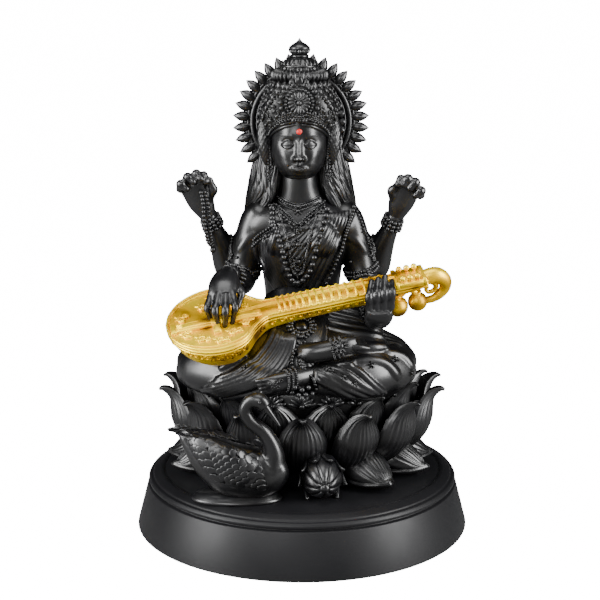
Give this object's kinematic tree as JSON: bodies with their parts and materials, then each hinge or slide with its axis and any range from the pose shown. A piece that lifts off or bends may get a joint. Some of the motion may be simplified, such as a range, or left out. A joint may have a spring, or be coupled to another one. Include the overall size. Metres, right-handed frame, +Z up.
{
  "type": "saraswati figure",
  "caption": "Seated four-armed goddess figure on a lotus, playing a long lute, with a swan at the lotus's foot, on a round plinth; a tabletop ornament.",
  "frame": {"origin": "centre of the plinth's flat underside, on the surface that the figure stands on", "axes": "+Z up, -Y the way the figure faces, +X towards the figure's left hand"},
  "size_m": [0.2, 0.2, 0.29],
  "materials": {
    "plinth_paint": "dark grey satin paint with fine turning marks",
    "black_resin": "cast resin, black, semi-gloss, lighter where rubbed",
    "gold_paint": "satin gold paint over cast resin",
    "red_paint": "one dab of red paint on the forehead"
  },
  "bodies": {
    "root": {"plinth": "plinth_paint", "figure_on_lotus": "black_resin", "swan": "black_resin", "veena": "gold_paint"}
  },
  "joints": []
}
